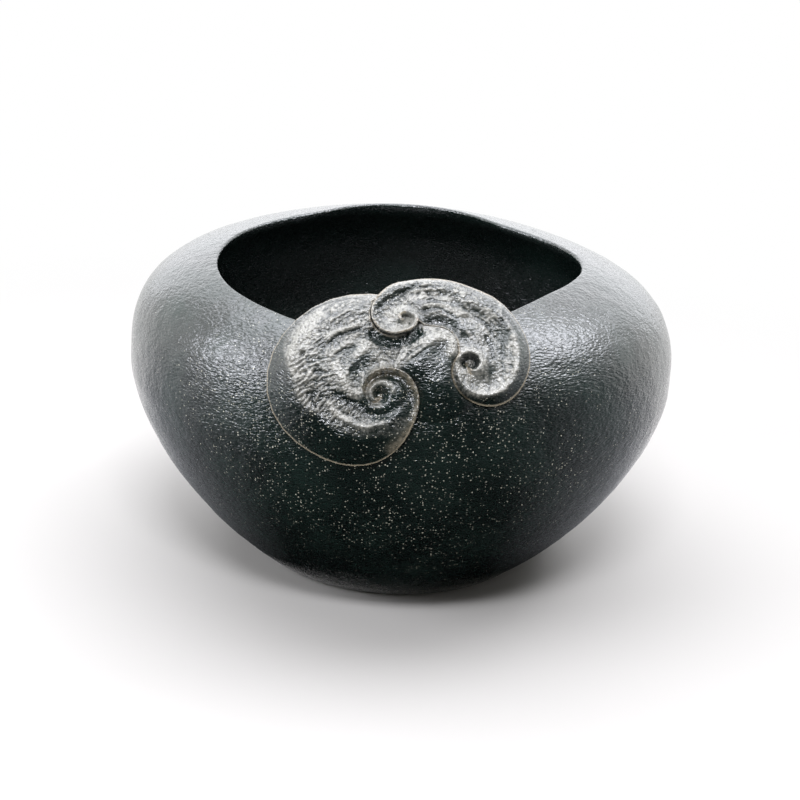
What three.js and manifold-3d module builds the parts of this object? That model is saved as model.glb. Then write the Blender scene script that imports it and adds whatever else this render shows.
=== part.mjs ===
// A carved stone tea basin: a squat round bowl with an incurved shoulder and a wide, hand-cut
// mouth, and on its front a relief of two scrolled fungus caps on one stem. The relief pieces are
// bedded on the shoulder with a thin joint round each, and the caps stand above the lip.
// Units are millimetres, +Z is up, the front faces -Y, and the origin is the centre of the flat base.

import * as THREE from 'three';
import { mergeVertices } from 'three/addons/utils/BufferGeometryUtils.js';
import Module from 'manifold-3d';

const wasm = await Module();
wasm.setup();

// Basin body
const BASIN_DIAMETER = 140;
const BASE_DIAMETER = 70;
const BELLY_HEIGHT = 51.5; // of the widest ring above the table
const CROWN_RISE = 32.8; // from the widest ring to where the shoulder would close over
const BACK_LIFT = 1.5; // how much higher the shoulder is carved at the back
const UNDERSIDE_FULLNESS = 1.57; // exponents of the body's curves: 2 is an ellipse, more is squarer
const SHOULDER_FULLNESS = 3.1;
const BASE_ARRIS = 1.5; // worn edge round the flat base

// Mouth: its reach from the axis at each eighth turn, as cut by hand
const MOUTH_RIGHT = 43.5;
const MOUTH_BACK_RIGHT = 34;
const MOUTH_BACK = 42;
const MOUTH_BACK_LEFT = 35;
const MOUTH_LEFT = 44.5;
const MOUTH_FRONT_LEFT = 54.5;
const MOUTH_FRONT = 58;
const MOUTH_FRONT_RIGHT = 46.5;

// Lip and inside
const LIP_ROUND = 0.8; // radius of the lip's worn edge
const LIP_UNDERCUT = 3; // how far the inside is cut back under the lip
const LIP_THICKNESS = 3; // the shoulder's thickness, carried to the axis
const WALL = 5; // at the widest ring
const FLOOR = 6.5;
const INSIDE_FULLNESS = 2.2;

// Relief: its own frame leans back, with x to the right, y up its face and heights outwards
const RELIEF_LEAN = 30; // degrees above the horizon that the relief faces
const OVERHANG_FALL = 0.35; // slope of the caps' bed where they run on above the shoulder
const CAP_BACK = 2.6; // thickness of a cap behind its bed where it stands free over the mouth
const JOINT = 0.3; // joint round each relief piece

// Each scroll winds out from its eye. Its edge has a radius at each eighth turn, and its crest and
// the heights across its band are set at chosen turns, in degrees, with the values after them.
const BAND_SHARE = [0.08, 0.2, 0.33, 0.48, 0.62, 0.76, 0.89]; // from a band's inner to its outer edge

// Left cap: one scroll, wound clockwise until it ends under the curl
const LEFT_EYE_X = -3.7;
const LEFT_EYE_Y = -22.1;
const LEFT_START = 270;
const LEFT_TURN = 920;
const LEFT_EDGE = [0, 2.2, 2.4, 2.3, 2.4, 2.4, 2.9, 3.4, 3.8, 4, 4.1, 4.5, 5.2, 6.7, 8.1, 9.8, 13.9,
  18.5, 25.2, 26, 23.4, 21];
const LEFT_CREST = [[0, 1.2], [70, 3.2], [300, 3], [420, 3.2], [540, 4.3], [640, 4], [710, 1.2]];
const LEFT_BAND = [
  [0, 0.6, 0.6, 0.8, 1.1, 1.6, 2.3, 3],
  [340, 0.8, 1, 1.4, 2, 2.6, 2.9, 3.1],
  [450, 3, 2.5, 2.1, 2, 2.1, 2.6, 3.1],
  [540, 3, 2.7, 2.2, 1.7, 1.5, 1.7, 3],
  [640, 3.1, 3, 2.9, 2.5, 2, 1.8, 2.8],
  [720, 2.7, 4.2, 5.3, 5.1, 4.5, 3.7, 2.6],
  [800, 2.2, 3.1, 3.2, 4.3, 5.6, 5, 3.3],
  [855, 2, 3.6, 3.2, 3.6, 4.6, 5.5, 4.2],
  [920, 1.6, 1.9, 3.1, 3.9, 3.6, 4.3, 5],
];

// Right cap: a curl on the left, wound clockwise
const CURL_EYE_X = -0.1;
const CURL_EYE_Y = -4.9;
const CURL_START = 180;
const CURL_TURN = 450;
const CURL_EDGE = [0, 0.9, 1.5, 2.1, 3.2, 3.3, 3.5, 5, 6.8, 7.9, 9.4];
const CURL_CREST = [[0, 2.6], [100, 5.6], [200, 6.2], [360, 5.8], [450, 3.8]];
const CURL_BAND = [
  [0, 2.2, 2.2, 2.3, 2.6, 3.2, 4, 5],
  [200, 4.6, 3.8, 3.4, 3.3, 3.6, 4.3, 5.4],
  [360, 5, 4.2, 3.6, 3.4, 3.8, 4.6, 5.4],
  [450, 4.8, 4.3, 4.4, 4.4, 4.5, 5.4, 5.2],
];

// a volute on the right, wound the other way round a deep ring
const VOLUTE_EYE_X = 15.2;
const VOLUTE_EYE_Y = -13.6;
const VOLUTE_START = 225;
const VOLUTE_TURN = 580;
const VOLUTE_EDGE = [0, 2, 2.5, 2.6, 2.5, 2.5, 2.7, 3.5, 5.4, 8, 11.3, 13.2, 15.1, 18];
const VOLUTE_CREST = [[0, 1], [60, 4.6], [300, 4.4], [350, 2.6], [400, 1.3], [580, 2.6]];
const VOLUTE_BAND = [
  [0, 0.4, 0.4, 0.5, 0.8, 1.6, 3.2, 4.3],
  [300, 0.4, 0.5, 0.6, 0.9, 1.7, 3.2, 4.2],
  [380, 2.4, 2.8, 3, 3.2, 3.6, 4, 2.6],
  [460, 4, 3.3, 2.8, 2.9, 3.9, 4.5, 2.8],
  [540, 4, 3.4, 3.2, 3.4, 4, 5.2, 4.2],
  [580, 4.2, 4, 4.5, 4, 4.2, 5.6, 4.8],
];

// and an arch between them, with a leaf-shaped ridge along it
const ARCH_TOP = [[3.4, 5.4, 3.6], [7.4, 5.8, 3.4], [11.4, 5.5, 3]];
const ARCH_UNDER = [[5, -6, 4.3], [8, -6.1, 4.6], [10.6, -7, 4.7], [12, -9.2, 4.2]];
const ARCH_BAND = [
  [0, 4.8, 4.3, 4.4, 4.4, 4.5, 5.4, 5.2],
  [0.3, 4.4, 5, 5.7, 5, 5, 5.9, 5.6],
  [0.7, 4.6, 5.1, 5.7, 4.9, 4.8, 5.8, 5.4],
  [1, 4.2, 4, 4.5, 4, 4.2, 5.6, 4.8],
];

// Stem: a ridge that comes out from under the arch and fades into the bowl. Its reach and the
// heights from its middle to its edge are set at each eighth turn from the right, anticlockwise.
const STEM_X = 7.4;
const STEM_Y = -15.5;
const STEM_REACH = [9, 10, 13, 13, 13, 10, 13.5, 14];
const STEM_MIDDLE = 4.2;
const STEM_SHARE = [0.25, 0.5, 0.75, 1];
const STEM_HEIGHTS = [
  [4.3, 3.4, 2.2, 1.5],
  [4.3, 4.6, 4.7, 4],
  [4.5, 5.4, 4.4, 4],
  [5, 4.6, 4, 3.4],
  [4.6, 4.1, 3.6, 3],
  [4, 3, 1.8, 1.2],
  [3.9, 3, 1.9, 0.5],
  [4, 3, 1.8, 0.5],
];

// Facets
const BASIN_SEGMENTS = 72;
const SCROLL_STEP = 10; // degrees
const STEM_SEGMENTS = 40;

const bellyRadius = BASIN_DIAMETER / 2;
const baseRadius = BASE_DIAMETER / 2;
const mouthReach = [MOUTH_RIGHT, MOUTH_BACK_RIGHT, MOUTH_BACK, MOUTH_BACK_LEFT,
  MOUTH_LEFT, MOUTH_FRONT_LEFT, MOUTH_FRONT, MOUTH_FRONT_RIGHT];

// A smooth value at a place between the entries of a list. A closed list runs on into its start.
function between(list, place, closed = false) {
  const start = Math.floor(place);
  const share = place - start;
  const entry = (i) => list[closed
    ? THREE.MathUtils.euclideanModulo(i, list.length)
    : THREE.MathUtils.clamp(i, 0, list.length - 1)];
  const [before, from, to, after] = [-1, 0, 1, 2].map((i) => entry(start + i));
  const bend = 2 * before - 5 * from + 4 * to - after;
  const twist = 3 * (from - to) + after - before;
  return from + 0.5 * share * (to - before + share * (bend + share * twist));
}

// Height of a curve of the body's kind at radius r, as a share of its full height.
function curveHeight(r, radius, fullness) {
  return Math.pow(Math.max(0, 1 - Math.pow(r / radius, fullness)), 1 / fullness);
}

// The underside's curve, if it ran on below the base to the axis, would be this deep.
const keelDepth = BELLY_HEIGHT / curveHeight(baseRadius, bellyRadius, UNDERSIDE_FULLNESS);

function mouthRadius(theta) {
  return between(mouthReach, (theta / Math.PI) * (mouthReach.length / 2), true);
}

function crownRise(theta) {
  return CROWN_RISE + BACK_LIFT * Math.pow(Math.max(0, Math.sin(theta)), 3);
}

// A curve from one radius to another on a quarter of the body, evenly spread by its turn.
function quarterCurve(radius, height, fullness, fromRadius, toRadius, steps) {
  const turn = (r) => Math.acos(Math.min(1, Math.pow(r / radius, fullness / 2)));
  const points = [];
  for (let i = 0; i <= steps; i++) {
    const t = THREE.MathUtils.lerp(turn(fromRadius), turn(toRadius), i / steps);
    const r = radius * Math.pow(Math.max(0, Math.cos(t)), 2 / fullness);
    points.push(new THREE.Vector2(r, height * Math.pow(Math.sin(t), 2 / fullness)));
  }
  return points;
}

// The outside of the body from the base's edge to the lip, as radius and height.
function outsideColumn(theta, growth = 0) {
  const under = quarterCurve(bellyRadius + growth, keelDepth + growth, UNDERSIDE_FULLNESS,
    baseRadius + BASE_ARRIS + growth, bellyRadius + growth, 12)
    .map((p) => new THREE.Vector2(p.x, BELLY_HEIGHT - p.y));
  const shoulder = quarterCurve(bellyRadius + growth, crownRise(theta) + growth, SHOULDER_FULLNESS,
    bellyRadius + growth, mouthRadius(theta) + LIP_ROUND, 11)
    .map((p) => new THREE.Vector2(p.x, BELLY_HEIGHT + p.y));
  return [...under, ...shoulder.slice(1)];
}

// The inside of the body from the lip down to the middle of the floor.
function insideColumn(theta) {
  const insideRadius = bellyRadius - WALL;
  const shoulder = quarterCurve(insideRadius, crownRise(theta) - LIP_THICKNESS, SHOULDER_FULLNESS,
    mouthRadius(theta) + LIP_UNDERCUT, insideRadius, 6)
    .map((p) => new THREE.Vector2(p.x, BELLY_HEIGHT + p.y));
  const bowl = quarterCurve(insideRadius, BELLY_HEIGHT - FLOOR, INSIDE_FULLNESS, insideRadius, 0, 9)
    .map((p) => new THREE.Vector2(p.x, BELLY_HEIGHT - p.y));
  return [...shoulder, ...bowl.slice(1, -1)];
}

// The lip's worn edge: an arc from the outside over the tip and under it.
function lipColumn(theta) {
  const top = outsideColumn(theta).at(-1);
  const centre = new THREE.Vector2(top.x, top.y - LIP_ROUND);
  return [120, 165, 210].map((degrees) => {
    const a = THREE.MathUtils.degToRad(degrees);
    return new THREE.Vector2(centre.x + LIP_ROUND * Math.cos(a), centre.y + LIP_ROUND * Math.sin(a));
  });
}

// A closed body from columns of radius and height, one for each step round the axis.
function bodyOfColumns(column, bottom, top) {
  const columns = [];
  for (let i = 0; i < BASIN_SEGMENTS; i++) {
    columns.push(column((2 * Math.PI * i) / BASIN_SEGMENTS));
  }
  const rings = columns[0].length;
  const vertices = [];
  columns.forEach((points, i) => {
    const theta = (2 * Math.PI * i) / BASIN_SEGMENTS;
    points.forEach((p) => vertices.push(p.x * Math.cos(theta), p.x * Math.sin(theta), p.y));
  });
  const start = vertices.length / 3;
  vertices.push(0, 0, bottom, 0, 0, top);
  const index = [];
  for (let i = 0; i < BASIN_SEGMENTS; i++) {
    const here = i * rings;
    const next = ((i + 1) % BASIN_SEGMENTS) * rings;
    index.push(start, next, here);
    for (let j = 0; j + 1 < rings; j++) {
      index.push(here + j, next + j, next + j + 1, here + j, next + j + 1, here + j + 1);
    }
    index.push(here + rings - 1, next + rings - 1, start + 1);
  }
  return geometryOf(vertices, index);
}

function geometryOf(vertices, index) {
  return new THREE.BufferGeometry()
    .setAttribute('position', new THREE.Float32BufferAttribute(vertices, 3))
    .setIndex(index);
}

function solidOf(geometry) {
  const bare = geometry.clone();
  bare.deleteAttribute('normal');
  bare.deleteAttribute('uv');
  const merged = mergeVertices(bare, 1e-4);
  return new wasm.Manifold(new wasm.Mesh({
    numProp: 3,
    vertProperties: merged.attributes.position.array,
    triVerts: new Uint32Array(merged.index.array),
  }));
}

function meshOf(name, solid, material) {
  const mesh = solid.getMesh();
  const geometry = geometryOf(mesh.vertProperties, Array.from(mesh.triVerts));
  const made = new THREE.Mesh(geometry.toNonIndexed(), material);
  made.geometry.computeVertexNormals();
  made.name = name;
  return made;
}

function basinGeometry() {
  const baseEdge = new THREE.Vector2(baseRadius, 0);
  const column = (theta) => [
    baseEdge,
    ...outsideColumn(theta),
    ...lipColumn(theta),
    ...insideColumn(theta),
  ];
  return bodyOfColumns(column, 0, FLOOR);
}

// The body without its mouth, grown by the joint: it trims the relief pieces to their bed.
function bedGeometry() {
  const column = (theta) => {
    const outside = outsideColumn(theta, JOINT);
    const crown = quarterCurve(bellyRadius + JOINT, crownRise(theta) + JOINT, SHOULDER_FULLNESS,
      outside.at(-1).x, 0, 6).map((p) => new THREE.Vector2(p.x, BELLY_HEIGHT + p.y));
    return [...outside, ...crown.slice(1, -1)];
  };
  return bodyOfColumns(column, outsideColumn(0, JOINT)[0].y, BELLY_HEIGHT + CROWN_RISE + JOINT);
}

// The relief's own frame, from the axis at the height of the widest ring.
const lean = THREE.MathUtils.degToRad(RELIEF_LEAN);
const reliefFrame = new THREE.Matrix4().makeBasis(
  new THREE.Vector3(1, 0, 0),
  new THREE.Vector3(0, Math.sin(lean), Math.cos(lean)),
  new THREE.Vector3(0, -Math.cos(lean), Math.sin(lean)),
).setPosition(0, 0, BELLY_HEIGHT);

// Whether a point of the relief's frame is inside the outer form of the body.
function insideBody(x, y, out) {
  const p = new THREE.Vector3(x, y, out).applyMatrix4(reliefFrame);
  const above = p.z >= BELLY_HEIGHT;
  const h = above ? (p.z - BELLY_HEIGHT) / CROWN_RISE : (BELLY_HEIGHT - p.z) / keelDepth;
  const fullness = above ? SHOULDER_FULLNESS : UNDERSIDE_FULLNESS;
  return Math.pow(Math.hypot(p.x, p.y) / bellyRadius, fullness) + Math.pow(h, fullness) < 1;
}

// How far out the stone's surface lies under a point of the relief's face.
function bodyOut(x, y) {
  let low = 0;
  let high = BASIN_DIAMETER;
  for (let i = 0; i < 24; i++) {
    const middle = (low + high) / 2;
    if (insideBody(x, y, middle)) low = middle;
    else high = middle;
  }
  return low;
}

// Where the shoulder under the relief starts to fall faster than a cap's bed may.
function shoulderBreak(x) {
  const reach = (y) => bodyOut(x, y) + OVERHANG_FALL * y;
  let low = -bellyRadius;
  let high = bellyRadius / 2;
  for (let i = 0; i < 24; i++) {
    const step = (high - low) / 3;
    if (reach(low + step) < reach(high - step)) low += step;
    else high -= step;
  }
  return low;
}

// The bed that the relief's heights are measured from: the stone, then straight on above it.
function bedOut(x, y) {
  const edge = shoulderBreak(x);
  return y < edge ? bodyOut(x, y) : bodyOut(x, edge) - OVERHANG_FALL * (y - edge);
}

// A sheet of points in the relief's frame, welded where they meet. Each point is x, y and height.
function sheetOf(strips) {
  const points = [];
  const places = new Map();
  const place = (p) => {
    const key = p[0].toFixed(4) + ' ' + p[1].toFixed(4);
    if (!places.has(key)) {
      places.set(key, points.length);
      points.push(p);
    }
    return places.get(key);
  };
  const triangles = strips.flatMap((columns) => {
    const rows = columns.map((column) => column.map(place));
    const made = [];
    for (let i = 0; i + 1 < rows.length; i++) {
      for (let j = 0; j + 1 < rows[i].length; j++) {
        const [a, b, c, d] = [rows[i][j], rows[i + 1][j], rows[i + 1][j + 1], rows[i][j + 1]];
        made.push(...[[a, b, c], [a, c, d]].filter((t) => new Set(t).size === 3));
      }
    }
    const area = made.reduce((sum, t) => sum + areaOf(...t.map((i) => points[i])), 0);
    return area > 0 ? made : made.map(([a, b, c]) => [a, c, b]);
  });
  return { points, triangles };
}

// Twice the area of a triangle on the relief's face, positive where it runs anticlockwise.
function areaOf(p, q, r) {
  return (q[0] - p[0]) * (r[1] - p[1]) - (q[1] - p[1]) * (r[0] - p[0]);
}

// The sheet's outline, anticlockwise, as point numbers.
function outlineOf(sheet) {
  const next = new Map();
  const edges = new Set();
  sheet.triangles.forEach((t) => t.forEach((a, i) => edges.add(a + ' ' + t[(i + 1) % 3])));
  sheet.triangles.forEach((t) => t.forEach((a, i) => {
    const b = t[(i + 1) % 3];
    if (!edges.has(b + ' ' + a)) next.set(a, b);
  }));
  const loop = [next.keys().next().value];
  while (next.get(loop.at(-1)) !== loop[0]) loop.push(next.get(loop.at(-1)));
  return loop;
}

// The sheet made solid: its face, its back and the walls between them, in the basin's frame.
function solidOfSheet(sheet) {
  const beds = sheet.points.map(([x, y]) => bedOut(x, y));
  const count = beds.length;
  const vertices = [];
  sheet.points.forEach(([x, y, h], i) => vertices.push(x, y, beds[i] + h));
  sheet.points.forEach(([x, y], i) => vertices.push(x, y, beds[i] - CAP_BACK));
  const index = [];
  sheet.triangles.forEach(([a, b, c]) => index.push(a, b, c, count + a, count + c, count + b));
  const loop = outlineOf(sheet);
  loop.forEach((a, i) => {
    const b = loop[(i + 1) % loop.length];
    index.push(a, count + a, count + b, a, count + b, b);
  });
  return solidOf(geometryOf(vertices, index).applyMatrix4(reliefFrame));
}

// The room that a relief piece takes from the pieces under it: its outline and a joint, right through.
function roomOf(sheet) {
  const loop = outlineOf(sheet).map((i) => new THREE.Vector2(...sheet.points[i].slice(0, 2)));
  const grown = loop.map((p, i) => {
    const before = loop.at(i - 1);
    const after = loop[(i + 1) % loop.length];
    const along = after.clone().sub(before).normalize();
    return p.clone().add(new THREE.Vector2(along.y, -along.x).multiplyScalar(JOINT));
  });
  const prism = new THREE.ExtrudeGeometry(new THREE.Shape(grown), {
    depth: BASIN_DIAMETER,
    bevelEnabled: false,
  });
  return solidOf(prism.applyMatrix4(reliefFrame));
}

// The values set at chosen turns or shares, carried smoothly over the stretch between two of them.
function keyed(keys, place) {
  const after = keys.findIndex((key) => key[0] > place);
  if (after === 0) return keys[0].slice(1);
  if (after < 0) return keys.at(-1).slice(1);
  const [from, to] = [keys[after - 1], keys[after]];
  const share = THREE.MathUtils.smoothstep(place, from[0], to[0]);
  return from.slice(1).map((value, i) => THREE.MathUtils.lerp(value, to[i + 1], share));
}

// The point of a scroll's edge a turn out from its eye.
function edgePoint(scroll, turn) {
  const out = Math.max(0, turn);
  const angle = THREE.MathUtils.degToRad(scroll.start + scroll.sense * turn);
  const r = out > 0 ? between(scroll.edge, out / 45) : 0;
  const height = keyed(scroll.crest, out)[0];
  return [scroll.x + r * Math.cos(angle), scroll.y + r * Math.sin(angle), height];
}

// A column of points across a band, from a point of its inner edge to a point of its outer edge.
function bandColumn(inner, outer, heights) {
  const inside = BAND_SHARE.map((share, i) => [
    THREE.MathUtils.lerp(inner[0], outer[0], share),
    THREE.MathUtils.lerp(inner[1], outer[1], share),
    heights[i],
  ]);
  return [inner, ...inside, outer];
}

// A scroll's band from its eye out to a turn. Its inner edge is the band's own edge a turn before.
function scrollStrip(scroll, end) {
  const columns = [];
  for (let turn = 0; turn <= end; turn += SCROLL_STEP) {
    const [inner, outer] = [edgePoint(scroll, turn - 360), edgePoint(scroll, turn)];
    columns.push(bandColumn(inner, outer, keyed(scroll.band, turn)));
  }
  return columns;
}

// The edge of a scroll from one turn to another, either way.
function edgeLine(scroll, first, last) {
  const count = Math.abs(last - first) / SCROLL_STEP;
  return Array.from({ length: count + 1 }, (_, i) => (
    edgePoint(scroll, first + Math.sign(last - first) * i * SCROLL_STEP)
  ));
}

// Points spread evenly along a smooth line through some given ones.
function lineThrough(points, count) {
  const line = new THREE.CatmullRomCurve3(points.map((p) => new THREE.Vector3(...p)));
  const spread = line.getSpacedPoints(count).map((p) => p.toArray());
  return [points[0], ...spread.slice(1, -1), points.at(-1)];
}

// The arch between the curl's last column and the volute's. Its inner edge is the curl's crest, the
// arch's own lower edge and the volute's ring, and its outer edge is the top of the outline.
function archStrip(curl, volute) {
  const curlEdge = edgeLine(curl, CURL_TURN - 360, 180);
  const ring = edgeLine(volute, 290, VOLUTE_TURN - 360);
  const lower = lineThrough([curlEdge.at(-1), ...ARCH_UNDER, ring[0]], 12).slice(1, -1);
  const inner = [...curlEdge, ...lower, ...ring];
  const ends = [edgePoint(curl, CURL_TURN), edgePoint(volute, VOLUTE_TURN)];
  const outer = lineThrough([ends[0], ...ARCH_TOP, ends[1]], inner.length - 1);
  return inner.map((from, i) => (
    bandColumn(from, outer[i], keyed(ARCH_BAND, i / (inner.length - 1)))
  ));
}

// The stem, as columns from its middle to its edge.
function stemStrip() {
  const columns = [];
  for (let i = 0; i <= STEM_SEGMENTS; i++) {
    const turn = (i % STEM_SEGMENTS) / STEM_SEGMENTS;
    const angle = 2 * Math.PI * turn;
    const reach = between(STEM_REACH, turn * STEM_REACH.length, true);
    const column = STEM_SHARE.map((share, j) => [
      STEM_X + share * reach * Math.cos(angle),
      STEM_Y + share * reach * Math.sin(angle),
      between(STEM_HEIGHTS.map((heights) => heights[j]), turn * STEM_HEIGHTS.length, true),
    ]);
    columns.push([[STEM_X, STEM_Y, STEM_MIDDLE], ...column]);
  }
  return columns;
}

const leftScroll = {
  x: LEFT_EYE_X,
  y: LEFT_EYE_Y,
  start: LEFT_START,
  sense: -1,
  edge: LEFT_EDGE,
  crest: LEFT_CREST,
  band: LEFT_BAND,
};

const curlScroll = {
  x: CURL_EYE_X,
  y: CURL_EYE_Y,
  start: CURL_START,
  sense: -1,
  edge: CURL_EDGE,
  crest: CURL_CREST,
  band: CURL_BAND,
};

const voluteScroll = {
  x: VOLUTE_EYE_X,
  y: VOLUTE_EYE_Y,
  start: VOLUTE_START,
  sense: 1,
  edge: VOLUTE_EDGE,
  crest: VOLUTE_CREST,
  band: VOLUTE_BAND,
};

const bed = solidOf(bedGeometry());
const leftSheet = sheetOf([scrollStrip(leftScroll, LEFT_TURN)]);
const rightSheet = sheetOf([
  scrollStrip(curlScroll, CURL_TURN),
  scrollStrip(voluteScroll, VOLUTE_TURN),
  archStrip(curlScroll, voluteScroll),
]);
const stemSheet = sheetOf([stemStrip()]);

const basinStone = new THREE.MeshStandardMaterial({ color: 0x1d2425, roughness: 0.35, metalness: 0 });
const capStone = new THREE.MeshStandardMaterial({ color: 0x5b5f5f, roughness: 0.55, metalness: 0 });

const rightCap = solidOfSheet(rightSheet).subtract(bed);
const leftCap = solidOfSheet(leftSheet).subtract(bed).subtract(roomOf(rightSheet));
const stem = solidOfSheet(stemSheet).subtract(bed).subtract(roomOf(rightSheet))
  .subtract(roomOf(leftSheet));

const teaBasin = new THREE.Group();
teaBasin.name = 'tea_basin';
teaBasin.add(meshOf('basin', solidOf(basinGeometry()), basinStone));
teaBasin.add(meshOf('left_cap', leftCap, capStone));
teaBasin.add(meshOf('right_cap', rightCap, capStone));
teaBasin.add(meshOf('stem', stem, basinStone));

export default teaBasin;
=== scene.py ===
"""A hand-carved stone tea basin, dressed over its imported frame.

The basin is a squat bowl of black-green serpentine, ground and waxed by hand, with a relief of two
scrolled fungus caps on one stem over the front of its lip. Everything is in metres, +Z up, with the
relief towards -Y and the origin at the centre of the flat base.
"""

import math

import bmesh
import bpy
from bpy.props import FloatProperty, FloatVectorProperty, PointerProperty
from bpy.types import Operator, Panel, PropertyGroup
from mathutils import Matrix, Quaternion, Vector, kdtree, noise


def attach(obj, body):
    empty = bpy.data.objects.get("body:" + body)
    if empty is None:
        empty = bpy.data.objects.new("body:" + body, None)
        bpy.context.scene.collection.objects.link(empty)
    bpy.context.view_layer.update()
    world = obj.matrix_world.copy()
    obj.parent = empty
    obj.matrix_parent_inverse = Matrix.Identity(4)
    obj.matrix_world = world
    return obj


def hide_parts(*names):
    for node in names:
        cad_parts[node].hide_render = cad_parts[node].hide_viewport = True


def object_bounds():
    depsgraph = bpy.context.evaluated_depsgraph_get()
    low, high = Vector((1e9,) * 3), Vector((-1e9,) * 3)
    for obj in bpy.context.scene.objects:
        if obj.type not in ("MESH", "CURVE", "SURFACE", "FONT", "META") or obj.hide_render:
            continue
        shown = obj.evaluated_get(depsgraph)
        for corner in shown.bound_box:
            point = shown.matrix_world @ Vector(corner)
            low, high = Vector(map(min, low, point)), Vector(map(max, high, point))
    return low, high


bl_info = {
    "name": "Stone Tea Basin",
    "version": (1, 0, 0),
    "blender": (4, 5, 0),
    "location": "3D View > Sidebar > Tea Basin",
    "description": "Stone, carving and studio for a hand-carved tea basin",
    "category": "Object",
}

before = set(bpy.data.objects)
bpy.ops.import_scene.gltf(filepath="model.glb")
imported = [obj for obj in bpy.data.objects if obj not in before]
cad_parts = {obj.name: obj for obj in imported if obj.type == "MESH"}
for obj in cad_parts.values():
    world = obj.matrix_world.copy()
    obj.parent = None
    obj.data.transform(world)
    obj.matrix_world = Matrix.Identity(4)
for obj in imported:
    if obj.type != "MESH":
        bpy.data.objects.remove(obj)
CAD_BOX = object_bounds()

MM = 0.001


def linear(code):
    """An sRGB hex colour as linear red, green and blue."""
    parts = [int(code[i : i + 2], 16) / 255 for i in (1, 3, 5)]
    return tuple(v / 12.92 if v <= 0.04045 else ((v + 0.055) / 1.055) ** 2.4 for v in parts)


class TeaBasinStone(PropertyGroup):
    """The stone of the bowl and the stem."""

    body: FloatVectorProperty(
        name="Body", description="Colour of the waxed serpentine", subtype="COLOR",
        size=3, min=0, max=1, default=linear("#0b1815"),
    )
    cloud: FloatVectorProperty(
        name="Cloud", description="Colour of the paler clouds in the stone", subtype="COLOR",
        size=3, min=0, max=1, default=linear("#142621"),
    )
    fleck: FloatVectorProperty(
        name="Fleck", description="Colour of the mineral flecks", subtype="COLOR",
        size=3, min=0, max=1, default=linear("#d2cfbd"),
    )
    cloud_size: FloatProperty(
        name="Cloud size", description="Width of the paler clouds", unit="LENGTH", default=14 * MM,
    )
    patch_size: FloatProperty(
        name="Patch size", description="Width of the patches where the flecks crowd together",
        unit="LENGTH", default=18 * MM,
    )
    fleck_spacing: FloatProperty(
        name="Fleck spacing", description="Distance from one fleck's cell to the next",
        unit="LENGTH", default=0.6 * MM,
    )
    grain: FloatProperty(
        name="Grain", description="Width of the leathery grain left by the last grinding",
        unit="LENGTH", default=0.9 * MM,
    )
    uneven: FloatProperty(
        name="Uneven", description="Width of the shallow dents under the grain",
        unit="LENGTH", default=3.2 * MM,
    )
    uneven_depth: FloatProperty(
        name="Uneven depth", description="Depth of the shallow dents under the grain",
        unit="LENGTH", default=0.24 * MM,
    )
    grain_depth: FloatProperty(
        name="Grain depth", description="Depth of the grain, enough to break up a sheen and no more",
        unit="LENGTH", default=0.08 * MM,
    )
    ripple_depth: FloatProperty(
        name="Ripple depth", description="Depth of the soft ripples left by hand grinding",
        unit="LENGTH", default=0.12 * MM,
    )


class TeaBasinCarving(PropertyGroup):
    """The carved relief."""

    # Pale dust colour. Where the dust share lays it on it is dust and painted light together, and where
    # it is left out the stone shows painted shade.
    dust: FloatVectorProperty(
        name="Dust", description="Colour of the dry, unwaxed crests", subtype="COLOR",
        size=3, min=0, max=1, default=linear("#a9a79e"),
    )
    rim: FloatVectorProperty(
        name="Rim", description="Colour of the worn line round each element", subtype="COLOR",
        size=3, min=0, max=1, default=linear("#9a907c"),
    )
    wrinkle_depth: FloatProperty(
        name="Wrinkle depth", description="Depth of the growth lines across the caps",
        unit="LENGTH", default=0.38 * MM,
    )
    crinkle: FloatProperty(
        name="Crinkle", description="Width of the fine crinkles in the dry crests",
        unit="LENGTH", default=0.8 * MM,
    )
    crinkle_depth: FloatProperty(
        name="Crinkle depth", description="Depth of the fine crinkles in the dry crests",
        unit="LENGTH", default=0.288 * MM,
    )
    dry_roughness: FloatProperty(
        name="Dry roughness", description="Roughness of the dry, dusty crests",
        min=0, max=1, default=0.32,
    )
    voxel: FloatProperty(
        name="Mesh size", description="Size of the faces that the carving is worked in",
        unit="LENGTH", default=0.22 * MM,
    )


class TeaBasinStudio(PropertyGroup):
    """Camera, floor and lamps."""

    elevation: FloatProperty(
        name="Elevation", description="Height of the camera's line of sight above the horizon",
        subtype="ANGLE", default=math.radians(20),
    )
    roll: FloatProperty(
        name="Roll", description="Turn of the camera about its line of sight",
        subtype="ANGLE", default=math.radians(3.83),
    )
    distance: FloatProperty(
        name="Distance", description="From the camera to the middle of the basin",
        unit="LENGTH", default=0.4,
    )
    aim_height: FloatProperty(
        name="Aim height", description="Height of the point that the camera looks at",
        unit="LENGTH", default=0.04,
    )
    lens: FloatProperty(
        name="Lens", description="Focal length in millimetres on a 36 mm sensor", default=67.85,
    )
    shift: FloatVectorProperty(
        name="Shift", description="Shift of the view to the right and up, as a share of its width",
        size=2, default=(0.002625, -0.001),
    )
    paper: FloatVectorProperty(
        name="Paper", description="Colour of the studio paper under the basin", subtype="COLOR",
        size=3, min=0, max=1, default=linear("#d2cfc9"),
    )


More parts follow.
